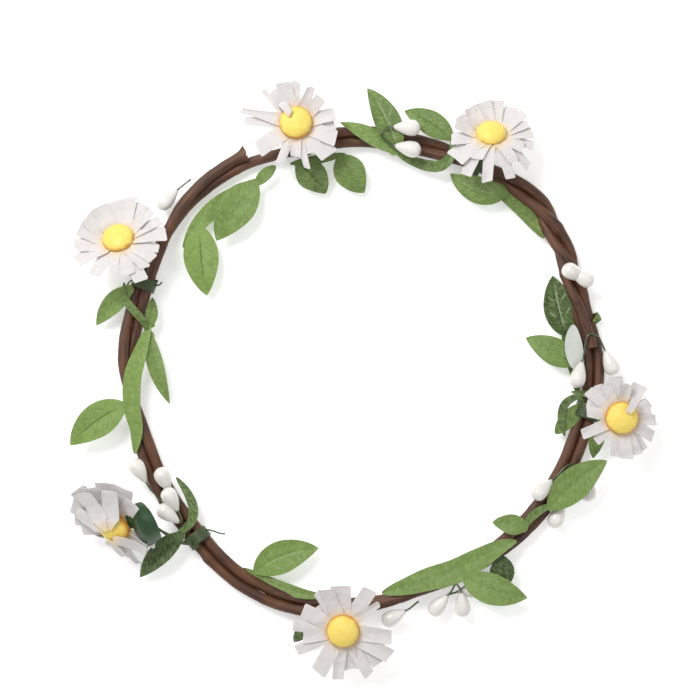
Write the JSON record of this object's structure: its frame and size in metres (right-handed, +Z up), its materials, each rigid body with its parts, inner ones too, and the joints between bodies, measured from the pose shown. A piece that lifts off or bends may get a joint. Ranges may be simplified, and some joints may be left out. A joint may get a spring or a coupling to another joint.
{
  "type": "flower crown",
  "caption": "Twisted twig hoop worn on the head, with fabric daisies on bendable wire stems, satin leaf ribbons and glossy white pips tied round it.",
  "frame": {"origin": "centre of the hoop, on the table that the crown lies on", "axes": "+Z up along the hoop's own axis, out of the side that the flowers face; +X and +Y across the hoop, with +Y towards the two flowers that stand side by side"},
  "size_m": [0.2157, 0.2177, 0.028],
  "materials": {
    "kraft_paper_wrap": "creased matt brown crepe paper with a waxy sheen on the high creases",
    "steel_core_wire": "bright annealed wire",
    "green_floral_tape": "waxed crepe florist's tape, satin",
    "petal_fabric": "white ribbed cotton tape, cut to a fringe, matt",
    "yellow_centre": "painted foam button, yellow with an orange rim, soft satin",
    "green_calyx": "dark green stiffened cloth",
    "green_stem_wire": "dark green coated wire",
    "satin_leaf_ribbon": "green satin ribbon with embossed veins",
    "lacquered_pip": "glossy white lacquer, slightly pearly"
  },
  "bodies": {
    "hoop": {"leaf_ribbon_1": "satin_leaf_ribbon", "leaf_ribbon_10": "satin_leaf_ribbon", "leaf_ribbon_2": "satin_leaf_ribbon", "leaf_ribbon_3": "satin_leaf_ribbon", "leaf_ribbon_4": "satin_leaf_ribbon", "leaf_ribbon_5": "satin_leaf_ribbon", "leaf_ribbon_6": "satin_leaf_ribbon", "leaf_ribbon_7": "satin_leaf_ribbon", "leaf_ribbon_8": "satin_leaf_ribbon", "leaf_ribbon_9": "satin_leaf_ribbon", "pip_spray_1": "lacquered_pip", "pip_spray_10": "lacquered_pip", "pip_spray_11": "lacquered_pip", "pip_spray_2": "lacquered_pip", "pip_spray_3": "lacquered_pip", "pip_spray_4": "lacquered_pip", "pip_spray_5": "lacquered_pip", "pip_spray_6": "lacquered_pip", "pip_spray_7": "lacquered_pip", "pip_spray_8": "lacquered_pip", "pip_spray_9": "lacquered_pip", "tie_1": "green_floral_tape", "tie_2": "green_floral_tape", "tie_3": "green_floral_tape", "tie_4": "green_floral_tape", "tie_5": "green_floral_tape", "tie_6": "green_floral_tape", "twig_wrap_long": "kraft_paper_wrap", "twig_wrap_short": "kraft_paper_wrap", "wire_core_long": "steel_core_wire", "wire_core_short": "steel_core_wire"},
    "daisy_1": {"daisy_1_calyx": "green_calyx", "daisy_1_centre": "yellow_centre", "daisy_1_petals": "petal_fabric", "daisy_1_stem": "green_stem_wire"},
    "daisy_2": {"daisy_2_calyx": "green_calyx", "daisy_2_centre": "yellow_centre", "daisy_2_petals": "petal_fabric", "daisy_2_stem": "green_stem_wire"},
    "daisy_3": {"daisy_3_calyx": "green_calyx", "daisy_3_centre": "yellow_centre", "daisy_3_petals": "petal_fabric", "daisy_3_stem": "green_stem_wire"},
    "daisy_4": {"daisy_4_calyx": "green_calyx", "daisy_4_centre": "yellow_centre", "daisy_4_petals": "petal_fabric", "daisy_4_stem": "green_stem_wire"},
    "daisy_5": {"daisy_5_calyx": "green_calyx", "daisy_5_centre": "yellow_centre", "daisy_5_petals": "petal_fabric", "daisy_5_sepals": "green_calyx", "daisy_5_stem": "green_stem_wire"},
    "daisy_6": {"daisy_6_calyx": "green_calyx", "daisy_6_centre": "yellow_centre", "daisy_6_petals": "petal_fabric", "daisy_6_stem": "green_stem_wire"}
  },
  "joints": [
    {"name": "daisy_1_bend", "type": "hinge", "parent": "hoop", "child": "daisy_1", "pos_m": [-0.02137, 0.0842, 0.0087], "axis": [-0.9775, -0.2111, 0], "range_deg": [-20, 25]},
    {"name": "daisy_2_bend", "type": "hinge", "parent": "hoop", "child": "daisy_2", "pos_m": [0.04356, 0.07687, 0.0087], "axis": [-0.9141, 0.4054, 0], "range_deg": [-20, 12]},
    {"name": "daisy_3_bend", "type": "hinge", "parent": "hoop", "child": "daisy_3", "pos_m": [-0.08067, 0.0317, 0.0087], "axis": [-0.3368, -0.9416, 0], "range_deg": [-20, 12]},
    {"name": "daisy_4_bend", "type": "hinge", "parent": "hoop", "child": "daisy_4", "pos_m": [0.08601, -0.01648, 0.0087], "axis": [0.2782, 0.9605, 0], "range_deg": [-20, 25]},
    {"name": "daisy_5_bend", "type": "hinge", "parent": "hoop", "child": "daisy_5", "pos_m": [-0.06069, -0.06352, 0.0087], "axis": [0.6338, -0.7735, 0], "range_deg": [-20, 8]},
    {"name": "daisy_6_bend", "type": "hinge", "parent": "hoop", "child": "daisy_6", "pos_m": [-0.00502, -0.0899, 0.0087], "axis": [0.9971, 0.0757, 0], "range_deg": [-20, 25]}
  ]
}
